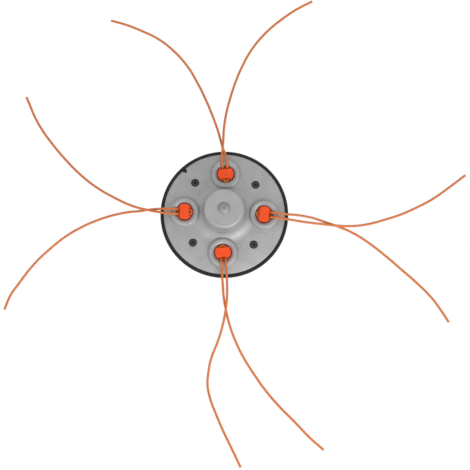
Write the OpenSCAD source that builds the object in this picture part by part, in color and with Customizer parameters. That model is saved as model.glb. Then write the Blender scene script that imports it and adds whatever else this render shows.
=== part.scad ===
// Fixed line trimmer head with four folded cutting lines.
// It lies on the flat back of its plate, the side that bolts to the gearbox, with the ground hub up.
// The origin is on the axis of rotation, in the plane of the back face. All sizes are in millimetres.

/* [Back plate] */
// Outer diameter of the plate's rim
plate_d = 128; // [126:0.5:140]
// Width of the rim's sloped shoulder outside the flat back face
shoulder_w = 14; // [12:1:16]
// Thickness of the plate's floor
floor_t = 3; // [2.5:0.1:4]
// Height of the top of the rim
rim_z = 11.5; // [11:0.1:13]
// Height of the ledge that carries the cap
seat_z = 6.5; // [6:0.1:7]
// Bore that centres the plate on the gearbox flange
pilot_d = 25.4; // [20:0.1:26]
// Depth of the moulded reliefs in the back face
relief_t = 1.2; // [0.6:0.1:1.5]

/* [Cap] */
// Width of the plate's rim that shows outside the cap
rim_w = 3.5; // [3:0.1:5]
// Height of the cap's outer edge
edge_z = 12.7; // [12.3:0.1:14]
// Height of the cap's face beside the hub
face_z = 16; // [15.5:0.1:17]
// Casting wall
wall = 3; // [2.5:0.1:3.5]
// Thickness of the stiffening ribs
rib_t = 2; // [1.5:0.1:3]
// Number of stiffening ribs
rib_count = 8; // [4:4:8]

/* [Hub] */
// Height of the hub's end face
hub_z = 47.7; // [44:0.1:54]
// Diameter of the hub at its end face
hub_d = 38.4; // [35:0.2:39]
// Draft of the hub's side, on the radius
hub_draft = 0.9; // [0.4:0.1:1.5]
// Rounding of the edge of the end face
hub_round = 1.7; // [1:0.1:3]
// Radius of the hollow flank between hub and face
flank_r = 12; // [8:0.5:14]

/* [Line eyelets] */
// Distance of the eyelets' axes from the edge of the cap
eyelet_in = 21; // [20.5:0.1:21.5]
// Height of the eyelet's lip
lip_z = 19.8; // [19:0.1:21]
// Outer diameter of the eyelet at its foot
lip_d = 31; // [29:0.2:32]
// Slope of the eyelet's side, on the radius
lip_slope = 1.3; // [1:0.1:2]
// Rounding of the lip's outer edge
lip_round = 1.6; // [1:0.1:2]
// Diameter of the well
well_d = 17.2; // [17:0.1:17.6]
// Depth of the bevel round the well's mouth
bevel_t = 1.4; // [0.8:0.1:1.6]
// Width of the bevel, on the radius
bevel_w = 2.4; // [1.5:0.1:2.8]

/* [Line posts] */
// Clearance of the post in its well, all round
post_gap = 0.2; // [0.1:0.05:0.4]
// Thickness of the foot flange that the cap clamps
foot_t = 3.2; // [2.5:0.1:3.6]
// Width of the foot flange outside the well
foot_w = 2.4; // [1.5:0.1:2.6]
// Depth of the pocket that centres the foot
pocket_t = 0.8; // [0.5:0.1:1]
// Width of the web between the two strands
web_t = 2.2; // [1.8:0.1:2.4]
// Length of the web, along the line
web_len = 7.4; // [6:0.2:8]
// Diameter of the head
head_d = 15.8; // [14:0.1:16]
// Length of the head between its two flats
head_len = 9.6; // [8:0.1:10]
// Thickness of the head
head_t = 1.9; // [1.6:0.1:2.4]
// Height of the head above the lip
head_proud = 1.2; // [0.6:0.1:1.6]
// Rounding of the head's upper edge
head_round = 0.8; // [0.5:0.1:1.1]
// Diameter of the dimple in the head
dimple_d = 2.8; // [2:0.1:4]

/* [Arbor] */
// Bore before threading, for M10 x 1.25 left hand
thread_bore_d = 8.8; // [8.6:0.1:9]
// Depth of the threaded bore
thread_depth = 34; // [28:1:36]
// Diameter of the steel insert's body
insert_d = 20; // [18:0.2:22]
// Width across flats of the insert's hexagonal collar
insert_hex = 24; // [22:0.2:25]
// Height of the hexagonal collar
insert_hex_h = 8; // [5:0.5:10]
// Diameter of the insert's flange
insert_flange_d = 33; // [30:0.5:34]
// Thickness of the insert's flange
insert_flange_t = 3; // [2.5:0.1:4]
// Diameter of the insert's nose, seen in the hub face
nose_d = 12; // [10:0.1:12.4]
// Length of the insert's nose
nose_len = 8; // [6:0.5:10]

/* [Screws] */
// Distance of the screws' axes from the edge of the cap
screw_in = 17.75; // [17:0.25:18.5]
// Thread diameter of the cap screws
screw_d = 4; // [3.5:0.1:4]
// Length of the cap screws under the head
screw_len = 10; // [9.5:0.1:10.5]
// Diameter of the screw head
screw_head_d = 7; // [6.5:0.1:7.2]
// Height of the screw head
screw_head_h = 4; // [3.5:0.1:4]
// Width across flats of the screw's hexagon socket
screw_socket = 3; // [2.5:0.1:3.2]
// Width across flats of the nut
nut_af = 7; // [6.8:0.1:7.2]
// Height of the nut
nut_h = 3.2; // [2.8:0.1:3.2]

/* [Cutting line] */
// Diameter of the line
line_d = 2.4; // [2:0.1:2.4]

/* [Hidden] */

// Eyelets, each with its post and line, and the screws between them
eyelet_count = 4;
screw_count = 4;
screw_first = 45;
// Clearance round pieces that drop into a seat
fit = 0.25;
// Hair's breadth past a face that a cone ends on
hair = 0.001;
// Sides of the wide circles that shape the cap's face
dome_sides = 720;
// Overshoot of a cut past the surface that it opens
over = 1;
// Smoothness of round surfaces, from the widest to the narrowest
fine = 96;
middling = 64;
small = 32;

// Plate: a sloped shoulder, an upright band, the rim's top, and inside it the ledge and the tray
plate_r = plate_d / 2;
back_r = plate_r - shoulder_w;
cap_r = plate_r - rim_w;
rim_round = 0.9;
shoulder_drop = 7;
shoulder_in = 2;
band_h = 2.5;
ledge_w = 6.5;
seat_r = cap_r + fit;
tray_r = back_r;
relief_in_r = 18.5;
relief_out_r = 27;
relief_count = 8;
relief_rib_t = 3;

// Cap: its face falls in one wide arc from the foot of the flank to the edge
skirt_in_r = cap_r - wall;
edge_round = 0.8;
under_z = face_z - wall;
rib_z = seat_z + 0.5;
hub_top_r = hub_d / 2;
hub_wall_r = hub_top_r + hub_draft;
flank_c = [hub_wall_r + flank_r, face_z + flank_r];
dome_w = cap_r - flank_c[0];
dome_r = (dome_w * dome_w + (face_z - edge_z) * (face_z - edge_z)) / (face_z - edge_z) / 2;
eyelet_root_z = face_z - 0.6;

// Key that sets the cap on the plate
key_angle = 134;
key_tip_r = cap_r - 2.9;
key_tip_w = 1.8;
key_mouth_w = 4.2;
key_gap = 0.2;
key_root = 0.5;
key_mouth_r = cap_r - 1;
key_end_r = cap_r + 1;

// Eyelets and posts, numbered counter-clockwise from +X
eyelet_r = cap_r - eyelet_in;
well_r = well_d / 2;
lip_r = lip_d / 2;
foot_z = floor_t - pocket_t;
foot_top_z = foot_z + foot_t;
foot_r = well_r + foot_w;
post_r = well_r - post_gap;
head_z = lip_z + head_proud;
neck_top_z = head_z - head_t;
line_r = line_d / 2;
line_gap = 0.1;
// The slot's floor, on which the strands lie under the head, and the shoulders beside it
bed_z = neck_top_z - line_d - 2 * line_gap;
slot_w = web_t + 2 * line_d + 4 * line_gap;
shoulder_z = neck_top_z + 0.2;
// Above the slot's floor the column is slimmer, which leaves an open ring round it in the well's mouth
ring_w = 0.8;
neck_r = well_r - ring_w;
dimple_t = 0.5;
// How far each post stands turned in its well
post_turn = [-4, 8, 1, 6];

// Arbor insert, clamped between the plate's floor and the hub, and kept from turning by its collar
insert_z = floor_t;
collar_z = insert_z + insert_flange_t;
body_z = collar_z + insert_hex_h;
tube_r = insert_flange_d / 2;
insert_gap = 0.1;
nose_z = hub_z - nose_len;
nose_proud = 2.4;
nose_dome_r = (nose_d * nose_d / 4 + nose_proud * nose_proud) / nose_proud / 2;
nose_gap = 0.1;
centre_d = 2;
centre_tip_d = 0.2;
lead_in = 1.2;

// Screws: heads sunk in the cap, nuts held in pockets under the plate's pillars
screw_r = cap_r - screw_in;
screw_gap = 0.2;
head_gap = 0.6;
head_sunk = 0.6;
screw_seat_z = face_z - head_sunk - screw_head_h;
screw_round = 0.4;
thread_gap = 0.05;
pillar_r = 6.5;
pillar_z = seat_z + 0.5;
socket_t = 2;
nut_floor = 2.8;
nut_top_z = pillar_z - nut_floor;
nut_gap = 0.15;

function screw_turn(i) = screw_first + (i - 1) * 360 / screw_count;
function turn(p, a) = [p[0] * cos(a) - p[1] * sin(a), p[0] * sin(a) + p[1] * cos(a)];

module around(count, radius, first = 0) {
    for (i = [0 : count - 1])
        rotate(first + i * 360 / count) translate([radius, 0, 0]) children();
}

// Outline of the key notch, pointing outwards from its round tip
module key_outline(gap) {
    translate([key_tip_r, 0]) circle(d = key_tip_w + 2 * gap, $fn = 24);
    polygon([
        [key_tip_r, -key_tip_w / 2 - gap], [key_mouth_r, -key_mouth_w / 2 - gap],
        [key_end_r, -key_mouth_w / 2 - gap], [key_end_r, key_mouth_w / 2 + gap],
        [key_mouth_r, key_mouth_w / 2 + gap], [key_tip_r, key_tip_w / 2 + gap]
    ]);
}

module hexagon(af) {
    circle(d = af / cos(30), $fn = 6);
}

// Half section of the back plate
module plate_section() {
    polygon([
        [pilot_d / 2, 0], [back_r, 0],
        [plate_r - shoulder_in, rim_z - shoulder_drop],
        [plate_r, rim_z - band_h],
        [plate_r, rim_z - rim_round], [plate_r - rim_round, rim_z],
        [seat_r, rim_z], [seat_r, seat_z],
        [seat_r - ledge_w, seat_z], [tray_r, floor_t], [pilot_d / 2, floor_t]
    ]);
    translate([plate_r - rim_round, rim_z - rim_round]) circle(rim_round, $fn = small);
}

// Ring of shallow pockets in the back face, with ribs left between them
module back_relief() {
    difference() {
        rotate_extrude($fn = fine)
            translate([relief_in_r, -over]) square([relief_out_r - relief_in_r, relief_t + over]);
        around(relief_count, 0)
            translate([0, -relief_rib_t / 2, -2 * over]) cube([back_r, relief_rib_t, relief_t + 3 * over]);
    }
}

module back_plate() {
    color("#2b2b2d") difference() {
        union() {
            rotate_extrude($fn = fine) plate_section();
            around(screw_count, screw_r, screw_first) cylinder(r = pillar_r, h = pillar_z, $fn = 48);
            rotate(key_angle) translate([0, 0, seat_z - key_root])
                linear_extrude(edge_z - seat_z) intersection() {
                    key_outline(0);
                    circle(seat_r + key_root, $fn = fine);
                }
        }
        around(eyelet_count, eyelet_r)
            translate([0, 0, foot_z]) cylinder(r = foot_r + fit, h = foot_t + over, $fn = middling);
        around(screw_count, screw_r, screw_first) {
            translate([0, 0, -over])
                cylinder(d = screw_d + 2 * screw_gap, h = pillar_z + 2 * over, $fn = small);
            translate([0, 0, -over]) linear_extrude(nut_top_z + over) hexagon(nut_af + 2 * nut_gap);
        }
        back_relief();
    }
}

// Half section of the cap's outside, with the foot of the hub and its hollow flank
module cap_section() {
    translate([0, seat_z]) square([flank_c[0], face_z - seat_z]);
    translate([0, seat_z]) square([cap_r, edge_z - edge_round - seat_z]);
    translate([cap_r - edge_round, edge_z - edge_round]) circle(edge_round, $fn = small);
    intersection() {
        translate([flank_c[0], seat_z]) square([dome_w - edge_round, face_z - seat_z]);
        translate([flank_c[0], face_z - dome_r]) circle(dome_r, $fn = dome_sides);
    }
    difference() {
        polygon([
            [0, seat_z], [flank_c[0], seat_z], [flank_c[0], face_z], [hub_wall_r, flank_c[1]],
            [hub_top_r, hub_z - hub_round], [hub_top_r - hub_round, hub_z], [0, hub_z]
        ]);
        translate(flank_c) circle(flank_r, $fn = fine);
    }
    difference() {
        translate([hub_wall_r - over, face_z - over]) square(flank_r + over);
        translate(flank_c) circle(flank_r, $fn = fine);
    }
    translate([hub_top_r - hub_round, hub_z - hub_round]) circle(hub_round, $fn = 48);
}

// Half section of the hollow under the cap
module hollow_section() {
    translate([tube_r, 0]) square([flank_c[0] - tube_r, under_z]);
    intersection() {
        translate([flank_c[0], 0]) square([skirt_in_r - flank_c[0], under_z]);
        translate([flank_c[0], face_z - dome_r]) circle(dome_r - wall, $fn = dome_sides);
    }
    difference() {
        translate([tube_r, 0]) square([flank_c[0] - tube_r, flank_c[1] - wall]);
        translate(flank_c) circle(flank_r + wall, $fn = fine);
    }
}

// Half section of one eyelet, about its own axis
module eyelet_section() {
    top_r = lip_r - lip_slope;
    polygon([
        [0, foot_top_z], [foot_r, foot_top_z], [foot_r, under_z], [lip_r, under_z], [lip_r, eyelet_root_z],
        [top_r, lip_z - lip_round], [top_r - lip_round, lip_z], [0, lip_z]
    ]);
    translate([top_r - lip_round, lip_z - lip_round]) circle(lip_round, $fn = small);
}

// Hollow under the cap, less the ribs that cross it
module cap_hollow() {
    difference() {
        rotate_extrude($fn = fine) hollow_section();
        around(rib_count, 0, 180 / rib_count)
            translate([0, -rib_t / 2, rib_z]) cube([cap_r, rib_t, hub_z]);
    }
}

module cap_cuts() {
    around(eyelet_count, eyelet_r) {
        translate([0, 0, -over]) cylinder(r = well_r, h = lip_z + 2 * over, $fn = middling);
        translate([0, 0, lip_z - bevel_t])
            cylinder(r1 = well_r, r2 = well_r + bevel_w, h = bevel_t + hair, $fn = middling);
    }
    around(screw_count, screw_r, screw_first) {
        cylinder(d = screw_d + 2 * screw_gap, h = face_z, $fn = small);
        translate([0, 0, screw_seat_z]) cylinder(d = screw_head_d + 2 * head_gap, h = face_z, $fn = 48);
    }
    translate([0, 0, body_z]) cylinder(r = insert_d / 2 + insert_gap, h = nose_z - body_z, $fn = middling);
    translate([0, 0, collar_z - over])
        linear_extrude(insert_hex_h + over) hexagon(insert_hex + 2 * insert_gap);
    translate([0, 0, nose_z - over])
        cylinder(r = nose_d / 2 + nose_gap, h = nose_len + 2 * over, $fn = middling);
    rotate(key_angle) linear_extrude(face_z) key_outline(key_gap);
}

module cap() {
    color("#adadad") difference() {
        union() {
            difference() {
                rotate_extrude($fn = fine) cap_section();
                cap_hollow();
            }
            translate([0, 0, collar_z]) cylinder(r = tube_r, h = under_z - collar_z + over, $fn = middling);
            around(eyelet_count, eyelet_r) rotate_extrude($fn = middling) eyelet_section();
            around(screw_count, screw_r, screw_first) translate([0, 0, pillar_z])
                cylinder(r = pillar_r, h = under_z + over - pillar_z, $fn = 48);
        }
        cap_cuts();
    }
}

module arbor_insert() {
    color("#9a9da0") difference() {
        union() {
            translate([0, 0, insert_z]) cylinder(d = insert_flange_d, h = insert_flange_t, $fn = middling);
            translate([0, 0, collar_z]) linear_extrude(insert_hex_h) hexagon(insert_hex);
            translate([0, 0, body_z]) cylinder(d = insert_d, h = nose_z - body_z, $fn = middling);
            rotate_extrude($fn = middling) nose_section();
        }
        translate([0, 0, insert_z - over])
            cylinder(d = thread_bore_d, h = thread_depth + over, $fn = middling);
        translate([0, 0, insert_z - hair])
            cylinder(d1 = thread_bore_d + 2 * lead_in, d2 = thread_bore_d, h = lead_in, $fn = middling);
        translate([0, 0, hub_z + nose_proud - centre_d / 2])
            cylinder(d1 = centre_tip_d, d2 = centre_d, h = centre_d / 2 + hair, $fn = small);
    }
}

// Half section of the insert's nose, with its domed end
module nose_section() {
    intersection() {
        translate([0, nose_z - over]) square([nose_d / 2, nose_len + over + nose_proud]);
        translate([0, hub_z + nose_proud - nose_dome_r]) circle(nose_dome_r, $fn = fine);
    }
}

// Head of a post: a rounded button cut by two flats that are rounded the same way
module post_head() {
    intersection() {
        translate([0, 0, neck_top_z]) rotate_extrude($fn = middling) head_section(head_d / 2);
        translate([0, head_d / 2, neck_top_z]) rotate([90, 0, 0]) linear_extrude(head_d) {
            head_section(head_len / 2);
            mirror([1, 0]) head_section(head_len / 2);
        }
    }
}

module head_section(r) {
    square([r - head_round, head_t]);
    square([r, head_t - head_round]);
    translate([r - head_round, head_t - head_round]) circle(head_round, $fn = small);
}

// One post in its own place: foot flange, column with a slot for the strands, web between them and head
module post() {
    color("#f4511e") difference() {
        union() {
            translate([0, 0, foot_z]) cylinder(r = foot_r, h = foot_t, $fn = middling);
            difference() {
                union() {
                    translate([0, 0, foot_top_z - over])
                        cylinder(r = post_r, h = bed_z - foot_top_z + over, $fn = middling);
                    translate([0, 0, bed_z - over])
                        cylinder(r = neck_r, h = shoulder_z - bed_z + over, $fn = middling);
                }
                translate([-well_r, -slot_w / 2, bed_z]) cube([2 * well_r, slot_w, head_t + line_d]);
            }
            translate([0, 0, bed_z - over]) linear_extrude(neck_top_z - bed_z + 1.5 * over) {
                square([web_len - web_t, web_t], center = true);
                for (side = [-1, 1])
                    translate([side * (web_len - web_t) / 2, 0]) circle(d = web_t, $fn = small);
            }
            post_head();
        }
        translate([0, 0, head_z + dimple_d / 2 - dimple_t]) sphere(d = dimple_d, $fn = small);
    }
}

module line_post(i) {
    rotate((i - 1) * 360 / eyelet_count) translate([eyelet_r, 0, 0]) rotate(post_turn[i - 1]) post();
}

module screw(i) {
    color("#232325") rotate(screw_turn(i)) translate([screw_r, 0, screw_seat_z]) difference() {
        union() {
            translate([0, 0, -screw_len]) cylinder(d = screw_d, h = screw_len + over, $fn = small);
            rotate_extrude($fn = 48) {
                square([screw_head_d / 2, screw_head_h - screw_round]);
                square([screw_head_d / 2 - screw_round, screw_head_h]);
                translate([screw_head_d / 2 - screw_round, screw_head_h - screw_round])
                    circle(screw_round, $fn = 24);
            }
        }
        translate([0, 0, screw_head_h - socket_t]) linear_extrude(socket_t + over) hexagon(screw_socket);
    }
}

module nut(i) {
    color("#b9bcc0") rotate(screw_turn(i)) translate([screw_r, 0, nut_top_z - nut_h]) difference() {
        linear_extrude(nut_h) hexagon(nut_af);
        translate([0, 0, -over]) cylinder(d = screw_d + 2 * thread_gap, h = nut_h + 2 * over, $fn = small);
    }
}

// Fold of a line round the web of its post, in the post's own frame: outwards, sideways, up.
// The strand of side 1 comes in over the lip, passes under the head and goes back out on side -1.
strand_v = web_t / 2 + line_r + line_gap;
strand_z = bed_z + line_r + line_gap;
lip_line_z = lip_z + line_r + line_gap;
fold_side = [
    [15, strand_v - 0.2, lip_line_z - 0.2],
    [12, strand_v - 0.1, lip_line_z + 0.1],
    [10.6, strand_v - 0.05, lip_line_z + 0.05],
    [9.2, strand_v, lip_line_z - 0.5],
    [6.8, strand_v, strand_z + 1.2],
    [5.4, strand_v, strand_z + 0.15],
    [4.2, strand_v, strand_z],
    [0, strand_v, strand_z],
    [-4.5, strand_v, strand_z]
];
fold_turn_u = -4.5;
fold_round = [for (a = [45, 90, 135]) [fold_turn_u - strand_v * sin(a), strand_v * cos(a), strand_z]];

function place(i, p) =
    let (q = turn([p[0], p[1]], post_turn[i - 1]))
    let (w = turn([q[0] + eyelet_r, q[1]], (i - 1) * 360 / eyelet_count))
    [w[0], w[1], p[2]];
function reversed(l) = [for (i = [len(l) - 1 : -1 : 0]) l[i]];
function fold(i) = concat(
    [for (p = fold_side) place(i, p)],
    [for (p = fold_round) place(i, p)],
    [for (p = reversed(fold_side)) place(i, [p[0], -p[1], p[2]])]
);

// Free strands of each line, from the eyelet to the tip: first the one on side 1, then the other.
// Two strands cross just outside the rim, slope down to the surface and lie on it.
strands = [
    [
        [
            [64, 0.5, 20], [72, 0.3, 19], [80, -0.4, 17.5], [89, -1.7, 15.3], [98, -4, 12.8],
            [112.5, -8, 9.8], [129, -14, 7.2], [145.5, -23.3, 5], [162, -35, 3], [178, -47.8, 1.8],
            [194.5, -61.5, 1.4], [210.5, -77, 1.3], [219.5, -88.8, 1.3], [227, -99.8, 1.3]
        ],
        [
            [64, -4.6, 20.4], [72, -5.5, 19.4], [80, -6.3, 18], [89, -6.9, 16.5], [98, -7.4, 15],
            [112.5, -8, 12.6], [129, -7.4, 9.3], [145, -4.4, 6.4], [161, 0.8, 4], [177.5, 7, 2.3],
            [193.5, 14.8, 1.5], [209.5, 24, 1.3], [225.5, 36, 1.3], [242.5, 49.7, 1.3]
        ]
    ],
    [
        [
            [-4.1, 61, 21.2], [-3.8, 66, 21.7], [-3.5, 75, 20.4], [-3.4, 84, 18.6], [-1.7, 101.5, 14.8],
            [1.9, 119.5, 11.2], [6.6, 137, 7.9], [13, 155, 5], [21.5, 172.5, 2.9], [34.5, 190.5, 1.7],
            [53, 208, 1.3], [68, 219, 1.3], [83, 227.5, 1.3]
        ],
        [
            [-1.7, 61, 20], [-3.8, 66, 18.9], [-6.4, 74.5, 17.4], [-9.3, 84, 15.8], [-16, 101.5, 12.8],
            [-23.5, 118.5, 9.7], [-32.5, 136, 6.7], [-43, 153, 4.1], [-58.5, 170, 2.2], [-74.5, 182, 1.5],
            [-93, 190.5, 1.3], [-108, 196, 1.3], [-124, 200, 1.3]
        ]
    ],
    [
        [
            [-61.5, -2, 20.9], [-69.5, -0.9, 20.4], [-77.5, 0.6, 19.7], [-85.5, 2.4, 18.2], [-94, 5.1, 16.4],
            [-110.5, 12.8, 12.4], [-127.5, 22.2, 8.9], [-144.5, 34.6, 5.7], [-162, 51, 3.1],
            [-179.5, 70.5, 1.7], [-188, 81.5, 1.4], [-197, 96, 1.3], [-202, 106.5, 1.3], [-206.5, 116, 1.3]
        ],
        [
            [-61.5, 2, 20], [-69.5, 1.5, 18.7], [-77.5, 0.6, 16.9], [-85.5, -0.6, 15.3], [-94, -1.3, 14],
            [-110, -4.5, 11.3], [-126, -9.6, 8.7], [-142, -16.8, 6.2], [-158, -26.5, 4],
            [-173.5, -39.5, 2.4], [-188.5, -55, 1.6], [-203.5, -76, 1.3], [-211, -88, 1.3], [-216, -102, 1.3]
        ]
    ],
    [
        [
            [4.9, -65.5, 20.3], [5.4, -73.5, 19.4], [5.6, -83, 18], [4.8, -95.5, 16], [2, -112.5, 12.6],
            [-2.3, -128, 9.4], [-8, -144, 6.5], [-10.5, -159.5, 4.1], [-10.8, -169.5, 3],
            [-7.8, -183, 1.9], [-1.3, -198.5, 1.5], [6, -214, 1.3], [14, -229, 1.3], [24.5, -249, 1.3]
        ],
        [
            [0.3, -65.5, 19.6], [1.2, -73.5, 18.2], [2.2, -83, 16.1], [4.8, -95.5, 13.2], [9.5, -112, 10.2],
            [16, -127.5, 7.8], [24.5, -143, 5.6], [34.8, -158, 3.6], [46.7, -173.5, 2.1],
            [60.5, -188.5, 1.5], [76.5, -203.5, 1.3], [92, -218.5, 1.3], [105.5, -229.5, 1.3]
        ]
    ]
];
line_sides = 8;
// Distance of the eyelets from the axis that these points go with
traced_r = 39.5;

function moved(l, i) = [for (p = l) p + (eyelet_r - traced_r) * [cos((i - 1) * 90), sin((i - 1) * 90), 0]];
function route(i) =
    concat(reversed(moved(strands[i - 1][0], i)), fold(i), moved(strands[i - 1][1], i));
function unit(v) = v / norm(v);
function heading(l, k) = unit(l[min(k + 1, len(l) - 1)] - l[max(k - 1, 0)]);
function ring(p, t) =
    let (side = unit(cross(t, [0, 0, 1])), up = cross(side, t), step = 360 / line_sides)
    [for (j = [0 : line_sides - 1]) p + line_r * (side * cos(j * step) + up * sin(j * step))];

// A line swept along its route
module swept(l) {
    n = line_sides;
    last = (len(l) - 1) * n;
    polyhedron(
        [for (k = [0 : len(l) - 1]) each ring(l[k], heading(l, k))],
        concat(
            [[for (j = [0 : n - 1]) j]],
            [for (k = [0 : len(l) - 2], j = [0 : n - 1])
                [k * n + j, (k + 1) * n + j, (k + 1) * n + (j + 1) % n, k * n + (j + 1) % n]],
            [[for (j = [n - 1 : -1 : 0]) last + j]]
        ),
        convexity = 10
    );
}

module cutting_line(i) {
    color("#e5793f") swept(route(i));
}

back_plate();
cap();
arbor_insert();
line_post(1);  // line_post_1
line_post(2);  // line_post_2
line_post(3);  // line_post_3
line_post(4);  // line_post_4
cutting_line(1);  // line_1
cutting_line(2);  // line_2
cutting_line(3);  // line_3
cutting_line(4);  // line_4
screw(1);  // screw_1
screw(2);  // screw_2
screw(3);  // screw_3
screw(4);  // screw_4
nut(1);  // nut_1
nut(2);  // nut_2
nut(3);  // nut_3
nut(4);  // nut_4
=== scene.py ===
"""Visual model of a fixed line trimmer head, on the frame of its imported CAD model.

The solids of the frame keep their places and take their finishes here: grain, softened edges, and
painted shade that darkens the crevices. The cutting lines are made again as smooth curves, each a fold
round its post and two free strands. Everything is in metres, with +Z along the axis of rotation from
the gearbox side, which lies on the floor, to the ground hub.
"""

import logging
import math
from dataclasses import dataclass, field
from enum import Enum

import bpy
from mathutils import Matrix, Vector

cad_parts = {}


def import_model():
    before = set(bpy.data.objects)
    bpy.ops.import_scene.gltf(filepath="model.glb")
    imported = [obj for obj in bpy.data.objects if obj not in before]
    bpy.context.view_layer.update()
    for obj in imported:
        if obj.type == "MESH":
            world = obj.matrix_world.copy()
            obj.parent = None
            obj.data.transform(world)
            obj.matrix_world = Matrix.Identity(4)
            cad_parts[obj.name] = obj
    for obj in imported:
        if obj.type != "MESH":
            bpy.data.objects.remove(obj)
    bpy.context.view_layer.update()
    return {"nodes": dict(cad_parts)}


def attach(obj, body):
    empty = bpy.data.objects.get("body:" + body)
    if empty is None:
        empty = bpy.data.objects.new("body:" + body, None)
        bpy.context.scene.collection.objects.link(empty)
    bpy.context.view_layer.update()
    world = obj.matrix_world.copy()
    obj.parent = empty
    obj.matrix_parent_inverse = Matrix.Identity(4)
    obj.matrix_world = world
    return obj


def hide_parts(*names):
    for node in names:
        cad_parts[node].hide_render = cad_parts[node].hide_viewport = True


LOG = logging.getLogger("trimmer_head")

MM = 0.001
# Size of the uneven patches that making and use leave on every surface
PATCH_MM = 14.0
# Most values of a noise texture lie between these
NOISE_LOW, NOISE_HIGH = 0.3, 0.7
# Share of open surroundings at which the painted crevice shade is full, and at which it ends
CREVICE_SHUT, CREVICE_OPEN = 0.2, 0.75
# Rays that the edge and crevice nodes send out
EDGE_RAYS = 6

Point = tuple[float, float, float]


def linear(code: str) -> tuple[float, float, float, float]:
    """Linear colour of an sRGB hex code.

    Args:
        code: Colour such as "#e5793f".

    Returns:
        Linear red, green, blue and an alpha of one.
    """
    parts = [int(code[i : i + 2], 16) / 255 for i in (1, 3, 5)]
    line = [c / 12.92 if c <= 0.04045 else ((c + 0.055) / 1.055) ** 2.4 for c in parts]
    return (line[0], line[1], line[2], 1.0)


@dataclass(frozen=True)
class Finish:
    """How one material looks.

    Attributes:
        name: Name of the material, after what it really is.
        colour: Base colour as an sRGB hex code.
        roughness: Mean roughness.
        metallic: One for bare metal, less under an oxide or a dull skin, zero for nylon.
        grain_mm: Size of the surface grain, in millimetres.
        grain_depth_mm: Height of the grain, in millimetres.
        tone: How much darker the darkest patches are, from 0 to 1.
        rough_spread: How much the roughness varies, up and down.
        through: Share of light that scatters inside the material.
        through_mm: How far that light travels, in millimetres.
        specular: Strength of the surface reflection, 0.5 for common plastics.
        edge_mm: Radius to which edges and inner corners look rounded, in millimetres.
        painted_crevice_shade: How much darker the colour is painted in the deepest crevices, as painted
            shade, from 0 to 1.
        painted_shade_reach_mm: How near its surroundings come to a surface that gets painted shade, in
            millimetres.
        turned: True for metal cut on a lathe, which has fine rings.
    """

    name: str
    colour: str
    roughness: float
    metallic: float = 0.0
    grain_mm: float = 0.5
    grain_depth_mm: float = 0.01
    tone: float = 0.0
    rough_spread: float = 0.0
    through: float = 0.0
    through_mm: float = 0.8
    specular: float = 0.5
    edge_mm: float = 0.2
    # Painted shade: the next two fields darken the colour in crevices, where shade falls
    painted_crevice_shade: float = 0.0
    painted_shade_reach_mm: float = 2.0
    turned: bool = False


class Look(Enum):
    """Finishes of the trimmer head, one for each real material."""

    # Die cast and blasted: a fine even grain that turns the light soft and grey, with painted shade
    # darkening its wells and inner corners
    CAST_ALUMINIUM = Finish(
        "blasted_die_cast_aluminium", "#b2b2b2", 0.6, metallic=0.7, grain_mm=0.45, edge_mm=0.9,
        grain_depth_mm=0.03, tone=0.16, rough_spread=0.08, painted_crevice_shade=0.5,
    )
    # Moulded with glass fibre: nearly black, with a dull sheen on its rounded rim
    BLACK_NYLON = Finish(
        "black_glass_filled_nylon", "#141415", 0.5, grain_mm=0.35, grain_depth_mm=0.012,
        tone=0.15, rough_spread=0.08, specular=0.35, edge_mm=0.4,
    )
    # Fresh orange nylon, glossy on the rounded edges, with painted shade making it dark red in the gap
    # round its head
    ORANGE_NYLON = Finish(
        "orange_moulded_nylon", "#f04c00", 0.3, grain_mm=0.6, grain_depth_mm=0.006,
        tone=0.08, rough_spread=0.06, through=0.15, through_mm=0.6, specular=0.4, edge_mm=0.5,
        painted_crevice_shade=0.85,
    )
    # Extruded monofilament: light goes into it, so its edges stay warm and bright
    LINE_NYLON = Finish(
        "orange_nylon_line", "#cc6e2a", 0.34, grain_mm=1.2, grain_depth_mm=0.004,
        tone=0.06, rough_spread=0.05, through=0.35, through_mm=1.0,
    )
    # Black oxide with oil: dark, with small bright highlights on the edges, and painted shade in the
    # socket and the gap round the head
    BLACK_STEEL = Finish(
        "black_oxide_steel", "#3d3d3e", 0.55, metallic=0.3, grain_mm=0.4, grain_depth_mm=0.006,
        tone=0.1, rough_spread=0.08, painted_crevice_shade=0.75,
    )
    # Turned bar: bright, with fine rings that spread the light across them, and painted shade round its
    # rim where it meets the hub's hole
    TURNED_STEEL = Finish(
        "turned_steel", "#a4a4a4", 0.66, metallic=1.0, grain_mm=0.3, grain_depth_mm=0.004, painted_crevice_shade=0.4,
        tone=0.08, rough_spread=0.06, turned=True,
    )
    # Zinc plate: pale and slightly uneven
    ZINC_STEEL = Finish(
        "zinc_plated_steel", "#b4b6b8", 0.4, metallic=1.0, grain_mm=0.5, grain_depth_mm=0.004,
        tone=0.08, rough_spread=0.08,
    )


class NodeTree:
    """Small helper that adds and joins shader nodes."""

    def __init__(self, material: bpy.types.Material) -> None:
        """Empty the material's tree and keep it.

        Args:
            material: Material whose tree is built.
        """
        material.use_nodes = True
        self.tree = material.node_tree
        self.tree.nodes.clear()

    def add(self, kind: str, inputs: dict | None = None, **settings) -> bpy.types.Node:
        """Add a node, set its values and join its inputs.

        Args:
            kind: Blender's name of the node type.
            inputs: Input name or number to a value, or to an output socket to join.
            **settings: Attributes of the node.

        Returns:
            The new node.
        """
        node = self.tree.nodes.new(kind)
        for name, value in settings.items():
            setattr(node, name, value)
        for name, value in (inputs or {}).items():
            if isinstance(value, bpy.types.NodeSocket):
                self.tree.links.new(value, node.inputs[name])
            else:
                node.inputs[name].default_value = value
        return node


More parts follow.
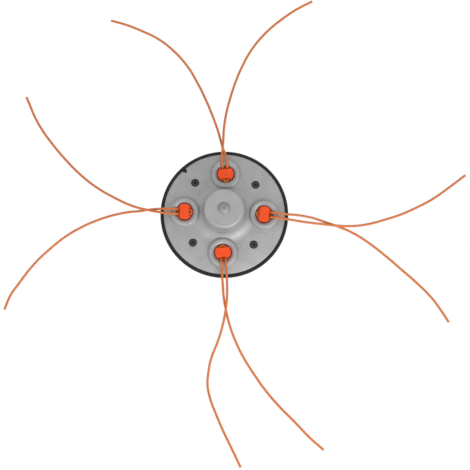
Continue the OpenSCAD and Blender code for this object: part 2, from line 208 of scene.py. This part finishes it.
def build_material(finish: Finish) -> bpy.types.Material:
    """Make the procedural material of a finish.

    Args:
        finish: How the material looks.

    Returns:
        The material, named after what it really is.
    """
    material = bpy.data.materials.new(finish.name)
    nodes = NodeTree(material)
    place = nodes.add("ShaderNodeTexCoord").outputs["Object"]
    per_metre = 1 / (finish.grain_mm * MM)
    grain = nodes.add(
        "ShaderNodeTexNoise",
        {"Vector": place, "Scale": per_metre, "Detail": 3.0, "Roughness": 0.6},
    )
    height = grain.outputs["Fac"]
    if finish.turned:
        rings = nodes.add(
            "ShaderNodeTexWave",
            {"Vector": place, "Scale": 2 / MM, "Distortion": 0.6, "Detail": 2.0},
            wave_type="RINGS",
            rings_direction="Z",
        )
        height = nodes.add(
            "ShaderNodeMix",
            {0: 0.6, 2: grain.outputs["Fac"], 3: rings.outputs["Fac"]},
            data_type="FLOAT",
        ).outputs[0]
    soft = nodes.add("ShaderNodeBevel", {"Radius": finish.edge_mm * MM}, samples=EDGE_RAYS)
    bump = nodes.add(
        "ShaderNodeBump",
        {
            "Height": height, "Strength": 1.0, "Distance": finish.grain_depth_mm * MM,
            "Normal": soft.outputs["Normal"],
        },
    )
    patches = nodes.add(
        "ShaderNodeTexNoise",
        {"Vector": place, "Scale": 1 / (PATCH_MM * MM), "Detail": 4.0, "Roughness": 0.62},
    )
    shade = nodes.add(
        "ShaderNodeMapRange",
        {
            "Value": patches.outputs["Fac"], 1: NOISE_LOW, 2: NOISE_HIGH,
            3: 1 - finish.tone, 4: 1.0,
        },
    )
    patched = nodes.add(
        "ShaderNodeMix",
        {0: 1.0, 6: linear(finish.colour), 7: shade.outputs["Result"]},
        data_type="RGBA",
        blend_type="MULTIPLY",
    )
    # Painted shade: the colour is darkened where the surroundings close in, in crevices, gaps and
    # sockets, standing in for the shade that falls there
    around = nodes.add(
        "ShaderNodeAmbientOcclusion", {"Distance": finish.painted_shade_reach_mm * MM}, samples=EDGE_RAYS
    )
    crevice_shade = nodes.add(
        "ShaderNodeMapRange",
        {
            "Value": around.outputs["AO"], 1: CREVICE_SHUT, 2: CREVICE_OPEN,
            3: 1 - finish.painted_crevice_shade, 4: 1.0,
        },
    )
    colour = nodes.add(
        "ShaderNodeMix",
        {0: 1.0, 6: patched.outputs[2], 7: crevice_shade.outputs["Result"]},
        data_type="RGBA",
        blend_type="MULTIPLY",
    )
    rough = nodes.add(
        "ShaderNodeMapRange",
        {
            "Value": grain.outputs["Fac"], 1: NOISE_LOW, 2: NOISE_HIGH,
            3: finish.roughness - finish.rough_spread, 4: finish.roughness + finish.rough_spread,
        },
    )
    surface = nodes.add(
        "ShaderNodeBsdfPrincipled",
        {
            "Base Color": colour.outputs[2],
            "Roughness": rough.outputs["Result"],
            "Metallic": finish.metallic,
            "Specular IOR Level": finish.specular,
            "Subsurface Weight": finish.through,
            "Subsurface Scale": finish.through_mm * MM,
            "Subsurface Radius": (1.0, 0.45, 0.25),
            "Normal": bump.outputs["Normal"],
        },
    )
    nodes.add("ShaderNodeOutputMaterial", {"Surface": surface.outputs["BSDF"]})
    return material


class Paint:
    """Keeps one material for each look and puts it on pieces."""

    def __init__(self) -> None:
        """Start with no material made."""
        self.made: dict[Look, bpy.types.Material] = {}

    def material(self, look: Look) -> bpy.types.Material:
        """Material of a look, made at its first use.

        Args:
            look: Which finish.

        Returns:
            The material.
        """
        if look not in self.made:
            self.made[look] = build_material(look.value)
        return self.made[look]

    def coat(self, piece: bpy.types.Object, look: Look) -> None:
        """Give a piece one finish all over.

        Args:
            piece: Mesh or curve.
            look: Which finish.
        """
        slots = piece.data.materials
        if len(slots) == 0:
            slots.append(self.material(look))
        for i in range(len(slots)):
            slots[i] = self.material(look)


@dataclass(frozen=True)
class LineSizes:
    """Sizes of the cutting lines and of the posts that hold them, in millimetres.

    Attributes:
        diameter: Of the line.
        eyelet_r: Distance of the eyelets from the axis of rotation.
        web: Width of the web between the two strands.
        gap: Clearance between a strand and what it lies on.
        bed_z: Height of the slot's floor, on which the strands lie under the head.
        lip_z: Height of the eyelet's lip.
        fold_back: How far behind the post's middle the fold starts to turn.
        post_turn: How far each post stands turned in its well, in degrees.
    """

    diameter: float = 2.4
    eyelet_r: float = 39.5
    web: float = 2.2
    gap: float = 0.1
    bed_z: float = 16.5
    lip_z: float = 19.8
    fold_back: float = 4.5
    post_turn: tuple[float, ...] = (-4.0, 8.0, 1.0, 6.0)

    @property
    def strand_v(self) -> float:
        """How far a strand lies to the side of its post's middle."""
        return self.web / 2 + self.diameter / 2 + self.gap

    @property
    def strand_z(self) -> float:
        """Height of a strand under the post's head."""
        return self.bed_z + self.diameter / 2 + self.gap

    @property
    def lip_line_z(self) -> float:
        """Height of a strand where it lies on the eyelet's lip."""
        return self.lip_z + self.diameter / 2 + self.gap


# Free strands from eyelet to tip, in millimetres: for each line its first strand, then the other.
# Two strands cross just outside the rim, slope down to the floor and lie on it.
STRANDS: tuple[tuple[tuple[Point, ...], tuple[Point, ...]], ...] = (
    (
        (
            (64, 0.5, 20), (72, 0.3, 19), (80, -0.4, 17.5), (89, -1.7, 15.3), (98, -4, 12.8),
            (112.5, -8, 9.8), (129, -14, 7.2), (145.5, -23.3, 5), (162, -35, 3), (178, -47.8, 1.8),
            (194.5, -61.5, 1.4), (210.5, -77, 1.3), (219.5, -88.8, 1.3), (227, -99.8, 1.3),
        ),
        (
            (64, -4.6, 20.4), (72, -5.5, 19.4), (80, -6.3, 18), (89, -6.9, 16.5), (98, -7.4, 15),
            (112.5, -8, 12.6), (129, -7.4, 9.3), (145, -4.4, 6.4), (161, 0.8, 4), (177.5, 7, 2.3),
            (193.5, 14.8, 1.5), (209.5, 24, 1.3), (225.5, 36, 1.3), (242.5, 49.7, 1.3),
        ),
    ),
    (
        (
            (-4.1, 61, 21.2), (-3.8, 66, 21.7), (-3.5, 75, 20.4), (-3.4, 84, 18.6),
            (-1.7, 101.5, 14.8), (1.9, 119.5, 11.2), (6.6, 137, 7.9), (13, 155, 5),
            (21.5, 172.5, 2.9), (34.5, 190.5, 1.7), (53, 208, 1.3), (68, 219, 1.3), (83, 227.5, 1.3),
        ),
        (
            (-1.7, 61, 20), (-3.8, 66, 18.9), (-6.4, 74.5, 17.4), (-9.3, 84, 15.8),
            (-16, 101.5, 12.8), (-23.5, 118.5, 9.7), (-32.5, 136, 6.7), (-43, 153, 4.1),
            (-58.5, 170, 2.2), (-74.5, 182, 1.5), (-93, 190.5, 1.3), (-108, 196, 1.3), (-124, 200, 1.3),
        ),
    ),
    (
        (
            (-61.5, -2, 20.9), (-69.5, -0.9, 20.4), (-77.5, 0.6, 19.7), (-85.5, 2.4, 18.2),
            (-94, 5.1, 16.4), (-110.5, 12.8, 12.4), (-127.5, 22.2, 8.9), (-144.5, 34.6, 5.7),
            (-162, 51, 3.1), (-179.5, 70.5, 1.7), (-188, 81.5, 1.4), (-197, 96, 1.3),
            (-202, 106.5, 1.3), (-206.5, 116, 1.3),
        ),
        (
            (-61.5, 2, 20), (-69.5, 1.5, 18.7), (-77.5, 0.6, 16.9), (-85.5, -0.6, 15.3),
            (-94, -1.3, 14), (-110, -4.5, 11.3), (-126, -9.6, 8.7), (-142, -16.8, 6.2),
            (-158, -26.5, 4), (-173.5, -39.5, 2.4), (-188.5, -55, 1.6), (-203.5, -76, 1.3),
            (-211, -88, 1.3), (-216, -102, 1.3),
        ),
    ),
    (
        (
            (4.9, -65.5, 20.3), (5.4, -73.5, 19.4), (5.6, -83, 18), (4.8, -95.5, 16),
            (2, -112.5, 12.6), (-2.3, -128, 9.4), (-8, -144, 6.5), (-10.5, -159.5, 4.1),
            (-10.8, -169.5, 3), (-7.8, -183, 1.9), (-1.3, -198.5, 1.5), (6, -214, 1.3),
            (14, -229, 1.3), (24.5, -249, 1.3),
        ),
        (
            (0.3, -65.5, 19.6), (1.2, -73.5, 18.2), (2.2, -83, 16.1), (4.8, -95.5, 13.2),
            (9.5, -112, 10.2), (16, -127.5, 7.8), (24.5, -143, 5.6), (34.8, -158, 3.6),
            (46.7, -173.5, 2.1), (60.5, -188.5, 1.5), (76.5, -203.5, 1.3), (92, -218.5, 1.3),
            (105.5, -229.5, 1.3),
        ),
    ),
)


@dataclass
class CuttingLine:
    """One folded line: a hairpin round its post and two free strands."""

    number: int
    sizes: LineSizes
    paint: Paint

    def place(self, point: Point) -> Vector:
        """Bring a point of the post's own frame into the row frame, in millimetres.

        Args:
            point: Outwards, sideways and up, from the axis of the eyelet.

        Returns:
            The point in the row frame.
        """
        in_well = Matrix.Rotation(math.radians(self.sizes.post_turn[self.number - 1]), 3, "Z")
        on_head = Matrix.Rotation(math.radians((self.number - 1) * 90), 3, "Z")
        return on_head @ (in_well @ Vector(point) + Vector((self.sizes.eyelet_r, 0, 0)))

    def fold_side(self, side: int) -> list[Vector]:
        """Centreline from the middle of the post out over the lip, on one side of the web.

        Args:
            side: 1 or -1.

        Returns:
            Points in the row frame, in millimetres, from the post outwards.
        """
        s = self.sizes
        steps = (
            (0.0, s.strand_v, s.strand_z),
            (4.2, s.strand_v, s.strand_z),
            (5.4, s.strand_v, s.strand_z + 0.15),
            (6.8, s.strand_v, s.strand_z + 1.2),
            (9.2, s.strand_v, s.lip_line_z - 0.5),
            (10.6, s.strand_v - 0.05, s.lip_line_z + 0.05),
            (12.0, s.strand_v - 0.1, s.lip_line_z + 0.1),
            (15.0, s.strand_v - 0.2, s.lip_line_z - 0.2),
        )
        return [self.place((u, side * v, z)) for u, v, z in steps]

    def curve(self, name: str, points: list[Vector]) -> bpy.types.Object:
        """Round line through points, smooth at each.

        Args:
            name: Name of the piece.
            points: Centreline in millimetres.

        Returns:
            The curve object.
        """
        data = bpy.data.curves.new(name, "CURVE")
        data.dimensions = "3D"
        data.bevel_depth = self.sizes.diameter / 2 * MM
        data.bevel_resolution = 7
        data.resolution_u = 10
        data.use_fill_caps = True
        spline = data.splines.new("BEZIER")
        spline.bezier_points.add(len(points) - 1)
        for knot, point in zip(spline.bezier_points, points):
            knot.co = point * MM
            knot.handle_left_type = knot.handle_right_type = "AUTO"
        piece = bpy.data.objects.new(name, data)
        bpy.context.collection.objects.link(piece)
        self.paint.coat(piece, Look.LINE_NYLON)
        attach(piece, "root")
        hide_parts(f"line_{self.number}")
        return piece

    def build(self) -> None:
        s = self.sizes
        ends = [self.place((-s.fold_back, side * s.strand_v, s.strand_z)) for side in (1, -1)]
        apex = [
            self.place((-s.fold_back - s.strand_v * math.sin(a), s.strand_v * math.cos(a), s.strand_z))
            for a in (math.radians(d) for d in (30, 60, 90, 120, 150))
        ]
        roots = [self.place((0.0, side * s.strand_v, s.strand_z)) for side in (1, -1)]
        self.curve(f"line_{self.number}_fold", [roots[0], ends[0], *apex, ends[1], roots[1]])
        for k, side in enumerate((1, -1)):
            free = [Vector(p) for p in STRANDS[self.number - 1][k]]
            points = self.fold_side(side) + free
            piece = self.curve(f"line_{self.number}_strand_{'ab'[k]}", points)


NODE_LOOKS: dict[str, Look] = {
    "back_plate": Look.BLACK_NYLON,
    "cap": Look.CAST_ALUMINIUM,
    "arbor_insert": Look.TURNED_STEEL,
    "line_post": Look.ORANGE_NYLON,
    "screw": Look.BLACK_STEEL,
    "nut": Look.ZINC_STEEL,
}


def coat_solids(nodes: dict[str, bpy.types.Object], paint: Paint) -> None:
    """Give each solid of the frame its finish.

    Args:
        nodes: Solids by name.
        paint: Where the materials are kept.
    """
    for name, solid in nodes.items():
        family = name.rstrip("0123456789").rstrip("_")
        look = NODE_LOOKS.get(name) or NODE_LOOKS.get(family)
        if look is not None:
            paint.coat(solid, look)


@dataclass(frozen=True)
class Studio:
    """Camera at the photograph's angle, white floor, even sky and two windows.

    Attributes:
        aim_mm: Point that the camera looks at, in millimetres.
        azimuth: Camera's turn about +Z, in degrees from -Y.
        elevation: Camera's height above the floor, in degrees.
        distance_mm: Distance from the camera to its aim.
        focal_px: Focal length in pixels of the photograph.
        frame_px: Width of the photograph.
        sensor_mm: Width of the camera's sensor.
        floor_half: Half the floor's side, in metres.
        floor_drop: Gap between the head and the floor, in metres.
        sky: Strength of the even light.
    """

    aim_mm: Point = (11.38, -20.774, 12.0)
    azimuth: float = 1.914
    elevation: float = 81.62
    distance_mm: float = 1250.0
    focal_px: float = 1253.047
    frame_px: int = 470
    sensor_mm: float = 36.0
    floor_half: float = 8.0
    floor_drop: float = 0.0005
    sky: float = 0.84

    def camera(self) -> None:
        """Place the camera where the photograph was taken from."""
        data = bpy.data.cameras.new("camera")
        data.sensor_width = self.sensor_mm
        data.lens = self.focal_px / self.frame_px * self.sensor_mm
        data.clip_end = 10.0
        turn = math.radians(self.azimuth - 90)
        rise = math.radians(self.elevation)
        level = math.cos(rise)
        back = Vector((level * math.cos(turn), level * math.sin(turn), math.sin(rise)))
        eye = bpy.data.objects.new("camera", data)
        eye.location = (Vector(self.aim_mm) + back * self.distance_mm) * MM
        eye.rotation_euler = back.to_track_quat("Z", "Y").to_euler()
        bpy.context.collection.objects.link(eye)
        bpy.context.scene.camera = eye
        bpy.context.scene.view_settings.view_transform = "Standard"

    def window(self, name: str, place: Point, size: float, watts: float) -> None:
        """Add a soft square light that looks at the head.

        Args:
            name: Name of the light.
            place: Where it stands, in metres.
            size: Length of its side, in metres.
            watts: Its power.
        """
        data = bpy.data.lights.new(name, "AREA")
        data.shape = "SQUARE"
        data.size = size
        data.energy = watts
        lamp = bpy.data.objects.new(name, data)
        lamp.location = place
        lamp.rotation_euler = Vector(place).to_track_quat("Z", "Y").to_euler()
        bpy.context.collection.objects.link(lamp)

    def floor(self) -> None:
        """Lay a plain pale floor that the camera sees as white paper."""
        half = self.floor_half
        corners = [(-half, -half, 0), (half, -half, 0), (half, half, 0), (-half, half, 0)]
        mesh = bpy.data.meshes.new("floor")
        mesh.from_pydata(corners, [], [(0, 1, 2, 3)])
        floor = bpy.data.objects.new("floor", mesh)
        floor.location.z = -self.floor_drop
        bpy.context.collection.objects.link(floor)
        material = bpy.data.materials.new("white_paper")
        nodes = NodeTree(material)
        paper = nodes.add("ShaderNodeBsdfDiffuse", {"Color": linear("#f2f2f2")})
        glow = nodes.add("ShaderNodeEmission", {"Color": (1.0, 1.0, 1.0, 1.0), "Strength": 1.0})
        path = nodes.add("ShaderNodeLightPath")
        mixed = nodes.add(
            "ShaderNodeMixShader",
            {0: path.outputs["Is Camera Ray"], 1: paper.outputs["BSDF"], 2: glow.outputs["Emission"]},
        )
        nodes.add("ShaderNodeOutputMaterial", {"Surface": mixed.outputs["Shader"]})
        mesh.materials.append(material)

    def world(self) -> None:
        """Set the even light of a white room."""
        world = bpy.data.worlds.new("white_room")
        bpy.context.scene.world = world
        world.use_nodes = True
        back = world.node_tree.nodes["Background"]
        back.inputs["Color"].default_value = (1.0, 1.0, 1.0, 1.0)
        back.inputs["Strength"].default_value = self.sky

    def build(self) -> None:
        """Set up camera, floor, world and lights."""
        self.camera()
        self.floor()
        self.world()
        self.window("window_right", (0.5, -0.75, 0.6), 0.7, 5.6)
        self.window("window_left", (-0.55, -0.7, 0.5), 0.7, 1.2)


@dataclass
class TrimmerHead:
    """The whole head on its frame."""

    nodes: dict[str, bpy.types.Object]
    paint: Paint = field(default_factory=Paint)
    lines: LineSizes = field(default_factory=LineSizes)

    def build(self) -> None:
        """Coat the solids and make the cutting lines."""
        coat_solids(self.nodes, self.paint)
        for number in range(1, len(STRANDS) + 1):
            CuttingLine(number, self.lines, self.paint).build()


def main() -> None:
    """Load the frame, build the visual model on it and set up the studio."""
    logging.basicConfig(level=logging.INFO)
    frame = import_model()
    TrimmerHead(frame["nodes"]).build()
    Studio().build()


if __name__ == "__main__":
    main()
